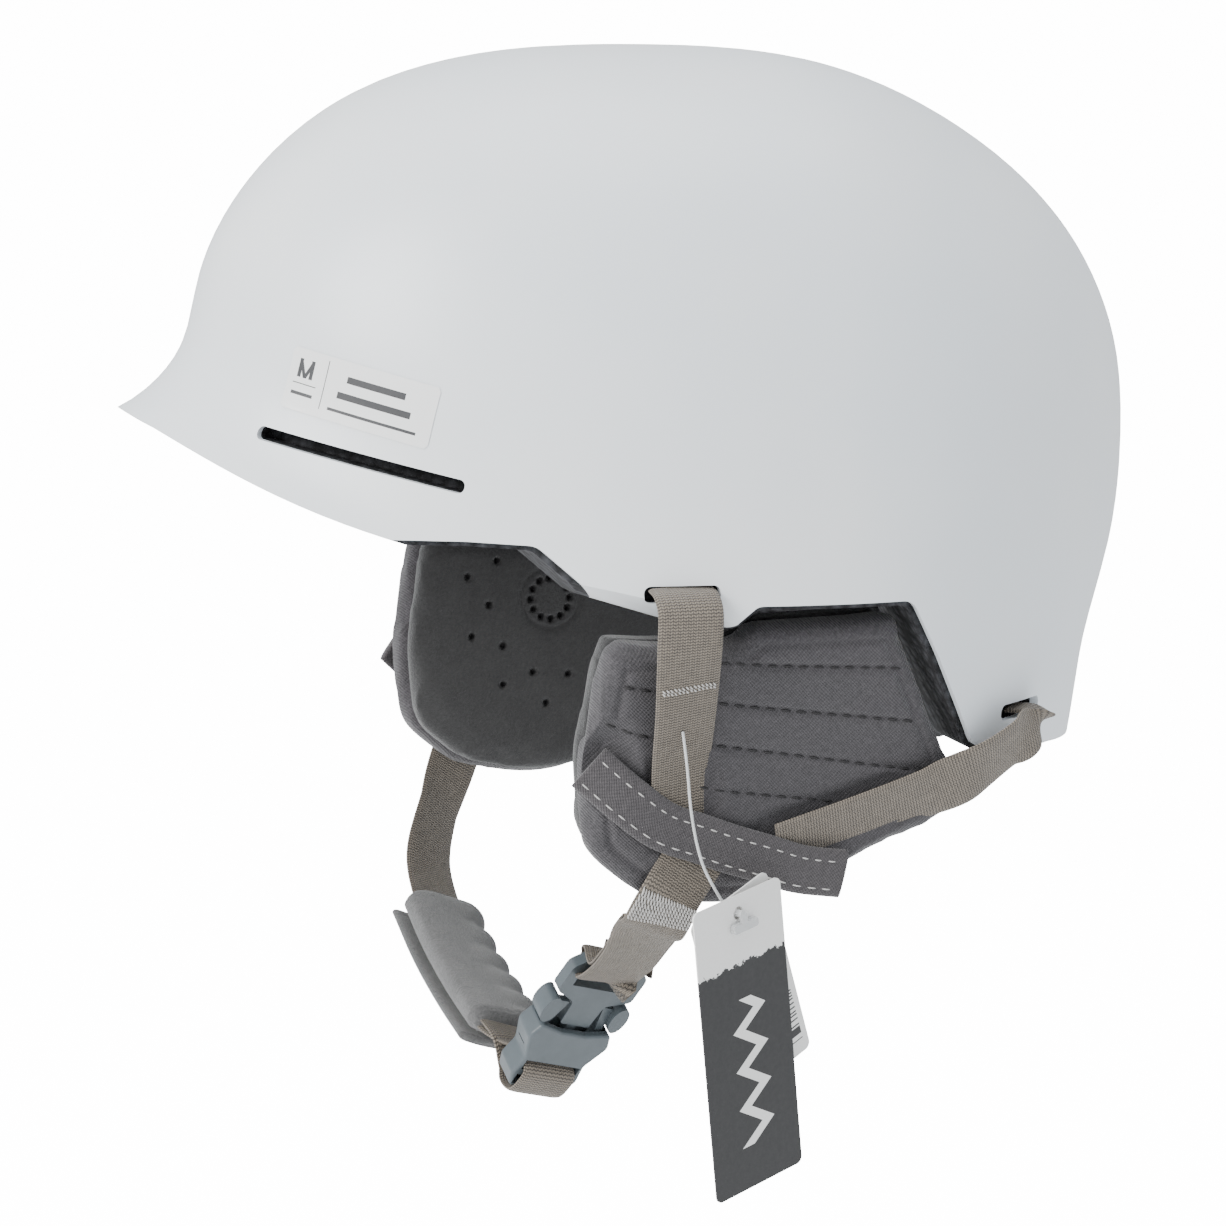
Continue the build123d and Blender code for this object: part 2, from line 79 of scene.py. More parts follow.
def place_camera():
    """Front left of the helmet, a little above it, with a long lens."""
    azimuth, elevation, distance = math.radians(71.6), math.radians(10.0), 1.2
    target = Vector((0.0, -0.0108, -0.0072))
    back = Vector((math.sin(azimuth) * math.cos(elevation),
                   -math.cos(azimuth) * math.cos(elevation), math.sin(elevation)))
    camera = bpy.data.objects.new("camera", bpy.data.cameras.new("camera"))
    bpy.context.collection.objects.link(camera)
    camera.location = target + back * distance
    camera.rotation_euler = back.to_track_quat("Z", "Y").to_euler()
    camera.data.lens = 123.3
    camera.data.sensor_width = 36.0
    bpy.context.scene.camera = camera


# ---------------------------------------------------------------- node helpers

def rgb(code):
    """sRGB hex to linear RGBA."""
    values = [int(code[i:i + 2], 16) / 255 for i in (1, 3, 5)]
    linear = [v / 12.92 if v <= 0.04045 else ((v + 0.055) / 1.055) ** 2.4 for v in values]
    return (*linear, 1.0)


def add_node(tree, kind, inputs=None, **settings):
    """Adds a node. inputs maps socket names or numbers to values or to sockets to link."""
    made = tree.nodes.new(kind)
    for key, value in settings.items():
        setattr(made, key, value)
    for key, value in (inputs or {}).items():
        if isinstance(value, bpy.types.NodeSocket):
            tree.links.new(value, made.inputs[key])
        else:
            made.inputs[key].default_value = value
    return made


def math_node(tree, operation, *values):
    return add_node(tree, "ShaderNodeMath", dict(enumerate(values)), operation=operation).outputs[0]


def blend_colour(tree, factor, first, second):
    mix = add_node(tree, "ShaderNodeMix", {"Factor": factor}, data_type="RGBA")
    for socket, value in ((6, first), (7, second)):
        if isinstance(value, bpy.types.NodeSocket):
            tree.links.new(value, mix.inputs[socket])
        else:
            mix.inputs[socket].default_value = value
    return mix.outputs[2]


def object_mm(tree):
    """Object coordinates in millimetres."""
    place = add_node(tree, "ShaderNodeTexCoord").outputs["Object"]
    return add_node(tree, "ShaderNodeVectorMath", {0: place, 3: 1000.0}, operation="SCALE").outputs[0]


def pattern_mm(tree):
    """The piece's own surface coordinates in millimetres, stored on its points."""
    return add_node(tree, "ShaderNodeAttribute", attribute_name="pattern").outputs["Vector"]


def noise(tree, vector, size, detail=2.0, rough=0.5):
    """Soft noise whose blobs are about size millimetres."""
    return add_node(tree, "ShaderNodeTexNoise",
                    {"Vector": vector, "Scale": 1.0 / size, "Detail": detail, "Roughness": rough}
                    ).outputs["Fac"]


def ramp(tree, value, low, high):
    """0 below low, 1 above high."""
    return add_node(tree, "ShaderNodeMapRange",
                    {"Value": value, "From Min": low, "From Max": high}).outputs["Result"]


def bump(tree, shader, height, depth_mm, strength=1.0):
    """Relief of depth_mm where height runs from 0 to 1."""
    node = add_node(tree, "ShaderNodeBump",
                    {"Height": height, "Distance": depth_mm * MM, "Strength": strength})
    tree.links.new(node.outputs["Normal"], shader.inputs["Normal"])


def new_material(name, **sockets):
    material = bpy.data.materials.new(name)
    material.use_nodes = True
    tree = material.node_tree
    shader = tree.nodes["Principled BSDF"]
    for socket, value in sockets.items():
        shader.inputs[socket.replace("_", " ")].default_value = value
    return material, tree, shader


# ---------------------------------------------------------------- materials

def moulded_abs():
    """White ABS, injection moulded and left satin: broad soft highlights, a cool cast, and a
    skin that is very slightly uneven."""
    material, tree, shader = new_material("white_moulded_abs", IOR=1.53, Coat_Weight=0.12,
                                          Coat_Roughness=0.25)
    place = object_mm(tree)
    cast = ramp(tree, noise(tree, place, 70), 0.3, 0.7)
    tree.links.new(blend_colour(tree, cast, rgb("#E4EAEF"), rgb("#EDF0F2")),
                   shader.inputs["Base Color"])
    grain = noise(tree, place, 0.9, 3.0)
    tree.links.new(math_node(tree, "MULTIPLY_ADD", grain, 0.10, 0.34), shader.inputs["Roughness"])
    bump(tree, shader, grain, 0.02, 0.35)
    return material


def bead_foam():
    """Black expanded polystyrene: pressed beads about 3 mm across, with painted highlights on their
    domes and painted shade in the seams between them.
    """
    material, tree, shader = new_material("black_bead_foam", Roughness=0.82, IOR=1.5)
    place = object_mm(tree)
    beads = add_node(tree, "ShaderNodeTexVoronoi", {"Vector": place, "Scale": 1 / 3.0})
    cell = ramp(tree, beads.outputs["Distance"], 0.0, 0.7)
    # painted light: each bead is coloured paler at its middle as a highlight and near black towards
    # its edge as the shade in the seam
    tree.links.new(blend_colour(tree, cell, rgb("#46474B"), rgb("#161618")),
                   shader.inputs["Base Color"])
    bump(tree, shader, math_node(tree, "SUBTRACT", 1.0, cell), 0.5)
    return material


def moulded_nylon():
    """Black nylon, moulded with a fine spark-eroded texture: dull with a faint sparkle."""
    material, tree, shader = new_material("black_moulded_nylon", IOR=1.53)
    place = object_mm(tree)
    grain = noise(tree, place, 0.35, 3.0)
    tree.links.new(blend_colour(tree, grain, rgb("#1B1B1D"), rgb("#2A2A2D")),
                   shader.inputs["Base Color"])
    tree.links.new(math_node(tree, "MULTIPLY_ADD", grain, 0.2, 0.42), shader.inputs["Roughness"])
    bump(tree, shader, grain, 0.05)
    return material


def moulded_acetal():
    """Slate grey acetal, moulded: smooth, waxy, with small bright highlights."""
    material, tree, shader = new_material("slate_moulded_acetal", IOR=1.48, Coat_Weight=0.1,
                                          Coat_Roughness=0.2)
    place = object_mm(tree)
    tone = noise(tree, place, 6.0, 3.0)
    tree.links.new(blend_colour(tree, tone, rgb("#4A5256"), rgb("#5A6267")),
                   shader.inputs["Base Color"])
    grain = noise(tree, place, 0.4, 3.0)
    tree.links.new(math_node(tree, "MULTIPLY_ADD", grain, 0.16, 0.28), shader.inputs["Roughness"])
    bump(tree, shader, grain, 0.03, 0.5)
    return material


def twill(name, dark, light, turned_edge=0.0):
    """Polyester twill: diagonal ribs crossed by the weft. Real ribs are 0.5 mm apart, drawn at
    0.9 mm so that they show, with slubs where the yarn thickens. Where the pattern's third
    coordinate, the distance from the rim, is under turned_edge, fleece is turned over it."""
    material, tree, shader = new_material(name, Roughness=0.88, IOR=1.5, Sheen_Weight=0.25,
                                          Sheen_Roughness=0.5)
    split = add_node(tree, "ShaderNodeSeparateXYZ", {0: pattern_mm(tree)})
    across, up, rim = split.outputs
    wander = math_node(tree, "MULTIPLY", noise(tree, pattern_mm(tree), 6.0), 1.2)
    slope = math_node(tree, "ADD", math_node(tree, "ADD", across, up), wander)
    rib = math_node(tree, "SINE", math_node(tree, "MULTIPLY", slope, 2 * math.pi / 0.9))
    weft = math_node(tree, "SINE", math_node(tree, "MULTIPLY",
                                             math_node(tree, "SUBTRACT", across, up),
                                             2 * math.pi / 1.3))
    weave = math_node(tree, "MULTIPLY_ADD", weft, 0.2, math_node(tree, "MULTIPLY_ADD", rib, 0.3, 0.5))
    slub = noise(tree, pattern_mm(tree), 1.6, 3.0, 0.7)
    tone = math_node(tree, "MULTIPLY_ADD", slub, 0.7, math_node(tree, "MULTIPLY", weave, 0.45))
    colour = blend_colour(tree, ramp(tree, tone, 0.25, 0.9), rgb(dark), rgb(light))
    if turned_edge:
        nap = noise(tree, object_mm(tree), 0.9, 4.0, 0.75)
        fleece = blend_colour(tree, ramp(tree, nap, 0.3, 0.7), rgb("#2A292B"), rgb(light))
        turned = ramp(tree, rim, turned_edge, turned_edge - 1.0)
        colour = blend_colour(tree, math_node(tree, "MULTIPLY", turned, 0.8), colour, fleece)
    tree.links.new(colour, shader.inputs["Base Color"])
    bump(tree, shader, weave, 0.22)
    return material


def brushed_fleece(name, dark, light, depth=0.35, shade_holes=False):
    """Brushed polyester fleece: a short, matted nap with paler fibre tips. Where it is punched, the
    holes, where the pattern's third coordinate is under 1.5 mm, are painted near black as the shade
    inside them."""
    material, tree, shader = new_material(name, Roughness=0.95, IOR=1.5, Sheen_Weight=0.35,
                                          Sheen_Roughness=0.6)
    place = object_mm(tree)
    nap = noise(tree, place, 0.8, 4.0, 0.75)
    patch = noise(tree, place, 9.0, 2.0)
    tone = math_node(tree, "MULTIPLY_ADD", nap, 0.75, math_node(tree, "MULTIPLY", patch, 0.3))
    colour = blend_colour(tree, ramp(tree, tone, 0.3, 0.75), rgb(dark), rgb(light))
    if shade_holes:
        # painted shade: inside each hole, within 0.9 to 1.2 mm of its centre, the fleece is coloured
        # near black
        gap = add_node(tree, "ShaderNodeSeparateXYZ", {0: pattern_mm(tree)}).outputs[2]
        colour = blend_colour(tree, ramp(tree, gap, 0.9, 1.2), rgb("#0B0B0B"), colour)
    tree.links.new(colour, shader.inputs["Base Color"])
    bump(tree, shader, nap, depth)
    return material


def woven_webbing(name, dark, light):
    """Polyester webbing: rows of weft picks across the strap, each broken into small beads by
    the warp. Picks are 0.8 mm apart along and 0.7 mm across."""
    material, tree, shader = new_material(name, Roughness=0.62, IOR=1.5, Sheen_Weight=0.15)
    split = add_node(tree, "ShaderNodeSeparateXYZ", {0: pattern_mm(tree)})
    along, across = split.outputs[0], split.outputs[1]
    row = math_node(tree, "MULTIPLY", along, math.pi / 0.8)
    column = math_node(tree, "MULTIPLY", across, math.pi / 0.7)
    lean = math_node(tree, "ADD", row, math_node(tree, "MULTIPLY",
                                                 math_node(tree, "SINE", column), 0.5))
    pick = math_node(tree, "ABSOLUTE", math_node(tree, "SINE", lean))
    warp = math_node(tree, "ABSOLUTE", math_node(tree, "COSINE", column))
    bead = math_node(tree, "MULTIPLY", pick, math_node(tree, "MULTIPLY_ADD", warp, 0.55, 0.45))
    fuzz = noise(tree, pattern_mm(tree), 2.5, 3.0)
    tone = math_node(tree, "MULTIPLY_ADD", fuzz, 0.35, math_node(tree, "MULTIPLY", bead, 0.85))
    tree.links.new(blend_colour(tree, ramp(tree, tone, 0.2, 1.0), rgb(dark), rgb(light)),
                   shader.inputs["Base Color"])
    bump(tree, shader, bead, 0.3)
    return material


def sewing_thread(name, dark, light):
    """Spun polyester thread: fine diagonal twist."""
    material, tree, shader = new_material(name, Roughness=0.7, IOR=1.5)
    place = object_mm(tree)
    split = add_node(tree, "ShaderNodeSeparateXYZ", {0: place})
    twist = math_node(tree, "SINE", math_node(tree, "MULTIPLY",
                                              math_node(tree, "ADD", split.outputs[1],
                                                        split.outputs[2]), 2 * math.pi / 0.5))
    shade = math_node(tree, "MULTIPLY_ADD", twist, 0.3, 0.5)
    tree.links.new(blend_colour(tree, shade, rgb(dark), rgb(light)), shader.inputs["Base Color"])
    bump(tree, shader, shade, 0.05)
    return material


def within(tree, value, low, high):
    """1 where value is between low and high."""
    above = math_node(tree, "GREATER_THAN", value, low)
    return math_node(tree, "MULTIPLY", above, math_node(tree, "LESS_THAN", value, high))


def block(tree, u, v, left, right, low, high):
    """1 inside a printed rectangle."""
    return math_node(tree, "MULTIPLY", within(tree, u, left, right), within(tree, v, low, high))


def either(tree, *masks):
    joined = masks[0]
    for mask in masks[1:]:
        joined = math_node(tree, "MAXIMUM", joined, mask)
    return joined


def card_plane(tree, lean):
    """Across and up on a hang card from its punched hole, turned by lean degrees."""
    turn = math.radians(lean)
    right = TAG_RIGHT * math.cos(turn) + TAG_UP * math.sin(turn)
    reach = add_node(tree, "ShaderNodeVectorMath", {0: object_mm(tree), 1: tuple(TAG_HOLE)},
                     operation="SUBTRACT").outputs[0]
    return [add_node(tree, "ShaderNodeVectorMath", {0: reach, 1: tuple(axis)},
                     operation="DOT_PRODUCT").outputs["Value"]
            for axis in (right, np.cross(TAG_OUT, right))]


def printed_stock(name, paper, ink, artwork, roughness=0.35, lean=None):
    """Coated stock printed on one side: smooth, slightly glossy, faint fibre, ink a little
    mottled. artwork returns the mask of the ink. lean is for a hang card, in degrees."""
    material, tree, shader = new_material(name, IOR=1.5, Coat_Weight=0.1)
    if lean is None:
        u, v = add_node(tree, "ShaderNodeSeparateXYZ", {0: pattern_mm(tree)}).outputs[:2]
    else:
        u, v = card_plane(tree, lean)
    place = object_mm(tree)
    fibre = noise(tree, place, 0.7, 4.0, 0.7)
    mottle = math_node(tree, "MULTIPLY_ADD", noise(tree, place, 1.5, 4.0), 0.02, 0.985)
    inked = math_node(tree, "MULTIPLY", artwork(tree, u, v), mottle)
    stock = blend_colour(tree, fibre, rgb(paper), rgb("#F4F3F1"))
    tree.links.new(blend_colour(tree, inked, stock, rgb(ink)), shader.inputs["Base Color"])
    tree.links.new(math_node(tree, "MULTIPLY_ADD", fibre, 0.15, roughness),
                   shader.inputs["Roughness"])
    bump(tree, shader, fibre, 0.02, 0.4)
    return material


def label_artwork(tree, u, v):
    """Size letter, two rules and four plain bars."""
    reach = math_node(tree, "ABSOLUTE", math_node(tree, "SUBTRACT", u, -17.2))
    legs = math_node(tree, "GREATER_THAN", reach, 1.35)
    drop = math_node(tree, "SUBTRACT", math_node(tree, "MULTIPLY_ADD", reach, 2.2, 0.7), v)
    vee = math_node(tree, "LESS_THAN", math_node(tree, "ABSOLUTE", drop), 1.2)
    letter = math_node(tree, "MULTIPLY", either(tree, legs, vee),
                       block(tree, u, v, -19.7, -14.7, 0.6, 5.6))
    return either(tree, letter, block(tree, u, v, -20.6, -13.0, -1.1, -0.85),
                  block(tree, u, v, -20.4, -13.4, -4.1, -3.2),
                  block(tree, u, v, -10.6, -10.35, -6.0, 7.0),
                  block(tree, u, v, -4.0, 13.5, 2.6, 4.4),
                  block(tree, u, v, -6.0, 16.0, -1.9, -0.1),
                  block(tree, u, v, -8.0, 18.5, -5.6, -4.8))


def front_artwork(tree, u, v):
    """Dark panel with a rough upper edge and a plain zigzag left white down its middle."""
    wander = add_node(tree, "ShaderNodeCombineXYZ", {0: u, 1: v}).outputs[0]
    rough = math_node(tree, "MULTIPLY_ADD", noise(tree, wander, 2.2, 5.0, 0.7), 6.0, -3.0)
    panel = math_node(tree, "LESS_THAN", math_node(tree, "ADD", v, rough), -14.0)
    wave = math_node(tree, "PINGPONG", v, 5.5)
    line = math_node(tree, "ABSOLUTE", math_node(tree, "SUBTRACT", math_node(
        tree, "MULTIPLY_ADD", wave, 1.5, -3.2), u))
    zigzag = math_node(tree, "MULTIPLY", math_node(tree, "LESS_THAN", line, 2.3),
                       within(tree, v, -66.0, -24.0))
    return math_node(tree, "MULTIPLY", panel, math_node(tree, "SUBTRACT", 1.0, zigzag))


def back_artwork(tree, u, v):
    """Bar code and a few plain rules."""
    number = math_node(tree, "FLOOR", math_node(tree, "DIVIDE", v, 0.45))
    dice = add_node(tree, "ShaderNodeTexWhiteNoise", {"W": number}, noise_dimensions="1D")
    bars = math_node(tree, "GREATER_THAN", dice.outputs["Value"], 0.5)
    code = math_node(tree, "MULTIPLY", bars, block(tree, u, v, 2.0, 13.0, -48.0, -32.0))
    return either(tree, code, block(tree, u, v, 5.0, 6.6, -26.0, -12.0),
                  block(tree, u, v, 8.2, 8.9, -24.0, -12.0))


def drawn_nylon():
    """Drawn nylon monofilament: milky and glossy."""
    material, tree, shader = new_material("milky_nylon", Roughness=0.25, IOR=1.53,
                                          Transmission_Weight=0.3)
    tone = noise(tree, object_mm(tree), 3.0)
    tree.links.new(blend_colour(tree, tone, rgb("#D9DBDB"), rgb("#EDEEEE")),
                   shader.inputs["Base Color"])
    return material


def make_materials():
    return {
        "shell": moulded_abs(),
        "foam": bead_foam(),
        "nylon": moulded_nylon(),
        "acetal": moulded_acetal(),
        "ear_twill": twill("grey_polyester_twill", "#2D2B2D", "#545154", 6.5),
        "sleeve_twill": twill("sleeve_polyester_twill", "#302D2F", "#565254"),
        "lining": brushed_fleece("dark_brushed_fleece", "#151516", "#343434", shade_holes=True),
        "comfort": brushed_fleece("black_brushed_knit", "#161617", "#333335"),
        "chin_fleece": brushed_fleece("grey_brushed_fleece", "#404141", "#706F6F", 0.5),
        "webbing": woven_webbing("grey_polyester_webbing", "#38332F", "#8E8375"),
        "elastic": woven_webbing("black_woven_elastic", "#101011", "#3A3A3C"),
        "dark_thread": sewing_thread("charcoal_thread", "#1B1A1B", "#343233"),
        "pale_thread": sewing_thread("pale_grey_thread", "#A8A6A4", "#D0CECB"),
        "front_card": printed_stock("coated_swing_card", "#E6E5E2", "#121113", front_artwork,
                                    lean=0),
        "back_card": printed_stock("uncoated_price_card", "#E4E3E0", "#2A2A2B", back_artwork, 0.5,
                                   12),
        "label": printed_stock("printed_film_label", "#EFF1F2", "#3C3C3E", label_artwork, 0.25),
        "filament": drawn_nylon(),
    }


# ---------------------------------------------------------------- mesh helpers

def link_mesh(name, vertices, faces, material, pattern=None, smooth=True):
    """A mesh object from points in millimetres."""
    mesh = bpy.data.meshes.new(name)
    mesh.from_pydata([tuple(float(c) * MM for c in v) for v in vertices], [], faces)
    mesh.validate()
    mesh.update()
    if smooth:
        mesh.polygons.foreach_set("use_smooth", [True] * len(mesh.polygons))
    piece = bpy.data.objects.new(name, mesh)
    bpy.context.collection.objects.link(piece)
    mesh.materials.append(material)
    if pattern is not None:
        store_pattern(piece, pattern)
    return piece


def store_pattern(piece, pattern):
    layer = piece.data.attributes.new("pattern", "FLOAT_VECTOR", "POINT")
    layer.data.foreach_set("vector", np.asarray(pattern, dtype=np.float32).ravel())


def points_of(mesh):
    flat = np.empty(len(mesh.vertices) * 3, dtype=np.float32)
    mesh.vertices.foreach_get("co", flat)
    return flat.reshape(-1, 3).astype(float) / MM


def put_points(mesh, points):
    mesh.vertices.foreach_set("co", (np.asarray(points) * MM).astype(np.float32).ravel())
    mesh.update()


def mirrored_copy(piece, name):
    """The same piece for the other side of the head."""
    mesh = piece.data.copy()
    points = points_of(mesh)
    points[:, 0] *= -1
    put_points(mesh, points)
    mesh.flip_normals()
    twin = bpy.data.objects.new(name, mesh)
    bpy.context.collection.objects.link(twin)
    return twin


def smooth_path(points, step=0.8):
    """Even samples along a smooth curve through the points (centripetal Catmull-Rom)."""
    p = np.array(points, float)
    p = np.vstack([2 * p[0] - p[1], p, 2 * p[-1] - p[-2]])
    dense = []
    for i in range(1, len(p) - 2):
        knots = [0.0]
        for a, b in ((i - 1, i), (i, i + 1), (i + 1, i + 2)):
            knots.append(knots[-1] + max(np.linalg.norm(p[b] - p[a]), 1e-6) ** 0.5)
        t = np.linspace(knots[1], knots[2], 24, endpoint=False)[:, None]

        def between(a, b, ta, tb):
            return a * (tb - t) / (tb - ta) + b * (t - ta) / (tb - ta)
        a1 = between(p[i - 1], p[i], knots[0], knots[1])
        a2 = between(p[i], p[i + 1], knots[1], knots[2])
        a3 = between(p[i + 1], p[i + 2], knots[2], knots[3])
        b1 = between(a1, a2, knots[0], knots[2])
        b2 = between(a2, a3, knots[1], knots[3])
        dense.append(between(b1, b2, knots[1], knots[2]))
    dense = np.vstack(dense + [p[-2][None]])
    run = np.r_[0, np.cumsum(np.linalg.norm(np.diff(dense, axis=0), axis=1))]
    even = np.linspace(0, run[-1], max(int(run[-1] / step), 2) + 1)
    keys = np.linspace(0, run[-1], len(points))
    path = np.stack([np.interp(even, run, dense[:, k]) for k in range(3)], 1)
    knot_runs = run[::24][:len(points)]
    return path, even, knot_runs if len(knot_runs) == len(points) else keys


def ribbon_frame(points, widths, step=0.8):
    """Centre line, width directions, face directions and run lengths of a ribbon."""
    path, run, knots = smooth_path(points, step)
    along = np.gradient(path, axis=0)
    along /= np.linalg.norm(along, axis=1)[:, None]
    w = np.array(widths, float)
    w /= np.linalg.norm(w, axis=1)[:, None]
    across = np.stack([np.interp(run, knots, w[:, k]) for k in range(3)], 1)
    across -= along * (across * along).sum(1)[:, None]
    across /= np.linalg.norm(across, axis=1)[:, None]
    return path, across, np.cross(along, across), run


def ribbon(name, points, widths, material, width=WEB_WIDTH, thick=WEB_THICK, rib=24, edge=8.0,
           cup=0.0, gather=(1.0, 0.0, 1.0), step=0.8):
    """Strap with softly rounded edges. cup bows its middle outward. gather is the share of the
    width at its start, and where along it that opens out to the whole. pattern holds the run
    along it and the distance across it."""
    path, across, face, run = ribbon_frame(points, widths, step)
    open_out = gather[0] + (1 - gather[0]) * ease(run, gather[1], gather[2])
    v = np.sin(np.linspace(-math.pi / 2, math.pi / 2, rib + 1)) * width / 2
    half = thick / 2 * np.clip(1 - np.abs(2 * v / width) ** edge, 0, 1) ** 0.5
    lift = cup * (1 - (2 * v / width) ** 2)
    section_v = np.r_[v, v[-2:0:-1]]
    section_t = np.r_[lift + half, (lift - half)[-2:0:-1]]
    ring = len(section_v)
    vertices = (path[:, None] + across[:, None] * (open_out[:, None] * section_v)[..., None]
                + face[:, None] * section_t[None, :, None]).reshape(-1, 3)
    pattern = np.stack(np.broadcast_arrays(run[:, None], section_v[None], 0.0), -1).reshape(-1, 3)
    faces = []
    for i in range(len(path) - 1):
        for j in range(ring):
            k = (j + 1) % ring
            faces.append((i * ring + j, i * ring + k, (i + 1) * ring + k, (i + 1) * ring + j))
    last = (len(path) - 1) * ring
    faces.append(tuple(range(ring))[::-1])
    faces.append(tuple(last + j for j in range(ring)))
    return link_mesh(name, vertices, faces, material, pattern)


def capsule_row(name, seats, material, radius=0.22):
    """Small sewn stitches. seats holds (start, end, outward) in millimetres; each stitch bows
    out of the cloth and dives in at both ends."""
    vertices, faces = [], []
    sides, rings = 6, 5
    for start, end, out in seats:
        start, end, out = (np.array(x, float) for x in (start, end, out))
        along = end - start
        length = np.linalg.norm(along)
        if length < 1e-6:
            continue
        along /= length
        out = out - along * out.dot(along)
        out /= np.linalg.norm(out)
        side = np.cross(along, out)
        base = len(vertices)
        for i in range(rings):
            t = i / (rings - 1)
            fat = radius * (0.35 + 0.65 * math.sin(math.pi * t) ** 0.5)
            centre = start + along * length * t + out * radius * (1.5 * math.sin(math.pi * t) - 0.5)
            for j in range(sides):
                a = 2 * math.pi * j / sides
                vertices.append(centre + (side * math.cos(a) + out * math.sin(a)) * fat)
        for i in range(rings - 1):
            for j in range(sides):
                k = (j + 1) % sides
                faces.append((base + i * sides + j, base + i * sides + k,
                              base + (i + 1) * sides + k, base + (i + 1) * sides + j))
        faces.append(tuple(base + j for j in range(sides))[::-1])
        faces.append(tuple(base + (rings - 1) * sides + j for j in range(sides)))
    return link_mesh(name, vertices, faces, material)


def row_on_ribbon(points, widths, offset, lift, stitch, gap, first=0.0, last=None):
    """Stitch seats along a ribbon, offset across from its middle."""
    path, across, face, run = ribbon_frame(points, widths, 0.4)
    last = run[-1] if last is None else last
    seats, at = [], first
    while at + stitch < last:
        ends = []
        for s in (at, at + stitch):
            place = np.array([np.interp(s, run, (path + across * offset + face * lift)[:, k])
                              for k in range(3)])
            ends.append(place)
        out = np.array([np.interp(at, run, face[:, k]) for k in range(3)])
        seats.append((ends[0], ends[1], out * math.copysign(1, lift)))
        at += stitch + gap
    return seats


def inflated(node, name, material, voxel=3.0, pressure=4.0, cap=2.0, levels=1):
    """Padded copy of a CAD soft solid: remeshed, blown up by a cloth simulation, capped and
    subdivided."""
    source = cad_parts[node]
    mesh = source.data.copy()
    piece = bpy.data.objects.new(name, mesh)
    bpy.context.collection.objects.link(piece)
    mesh.materials.clear()
    mesh.materials.append(material)
    remesh = piece.modifiers.new("remesh", "REMESH")
    remesh.mode = "VOXEL"
    remesh.voxel_size = voxel * MM
    settle(piece)
    start = points_of(piece.data)
    cloth = piece.modifiers.new("cloth", "CLOTH")
    cloth.settings.use_pressure = True
    cloth.settings.uniform_pressure_force = pressure
    cloth.settings.effector_weights.gravity = 0.0
    cloth.settings.quality = 4
    cloth.point_cache.frame_start = 1
    cloth.point_cache.frame_end = 20
    scene = bpy.context.scene
    for step in range(1, 21):
        scene.frame_set(step)
    settle(piece)
    scene.frame_set(1)
    moved = points_of(piece.data) - start
    far = np.linalg.norm(moved, axis=1)[:, None]
    put_points(piece.data, start + moved * np.minimum(1.0, cap / np.maximum(far, 1e-9)))
    if levels:
        subdivide = piece.modifiers.new("subdivide", "SUBSURF")
        subdivide.levels = levels
        settle(piece)
    piece.data.polygons.foreach_set("use_smooth", [True] * len(piece.data.polygons))
    return piece


def settle(piece):
    """Applies every modifier, so that the mesh keeps the result."""
    graph = bpy.context.evaluated_depsgraph_get()
    graph.update()
    result = bpy.data.meshes.new_from_object(piece.evaluated_get(graph), depsgraph=graph)
    result.name = piece.name
    piece.modifiers.clear()
    piece.data = result
    return piece


# ---------------------------------------------------------------- flat shapes

def rounded_outline(corners, radii, arc=7):
    """Closed polygon with rounded corners."""
    corners = np.array(corners, float)
    outline = []
    for i, radius in enumerate(radii):
        corner = corners[i]
        back = corners[i - 1] - corner
        ahead = corners[(i + 1) % len(corners)] - corner
        back /= np.linalg.norm(back)
        ahead /= np.linalg.norm(ahead)
        reach = radius / math.tan(math.acos(np.clip(back @ ahead, -1, 1)) / 2)
        start, end = corner + back * reach, corner + ahead * reach
        for t in np.linspace(0, 1, arc):
            outline.append(start * (1 - t) ** 2 + corner * 2 * t * (1 - t) + end * t ** 2)
    return np.array(outline)


def edge_distance(points, outline):
    """Distance of flat points to a closed polygon."""
    ahead = np.roll(outline, -1, 0) - outline
    reach = points[:, None] - outline
    t = np.clip((reach * ahead).sum(2) / (ahead * ahead).sum(1), 0, 1)
    return np.linalg.norm(reach - ahead * t[..., None], axis=2).min(1)


def inside_polygon(points, outline):
    """Even-odd test for each flat point."""
    a, b = outline, np.roll(outline, -1, 0)
    x, y = points[:, 0, None], points[:, 1, None]
    crosses = ((a[:, 1] > y) != (b[:, 1] > y))
    level = (b[:, 0] - a[:, 0]) * (y - a[:, 1]) / (b[:, 1] - a[:, 1] + 1e-12) + a[:, 0]
    return (crosses & (x < level)).sum(1) % 2 == 1


def ease(value, low, high):
    """0 below low, 1 above high, smooth between."""
    t = np.clip((value - low) / (high - low), 0, 1)
    return t * t * (3 - 2 * t)


# ---------------------------------------------------------------- ear pads

EAR_OUTLINE = rounded_outline(
    [(-46, 34), (-51.5, 0), (-49.5, -24), (-34, -37), (-8, -42.5), (18, -37), (52, -21),
     (61, -10), (54.5, -4), (40.5, 28), (36.5, 38.6), (-5, 38.6), (-10, 34)],
    [5, 30, 14, 20, 40, 30, 8, 3, 5, 5, 3, 3, 2.5])
BINDING = 6.5
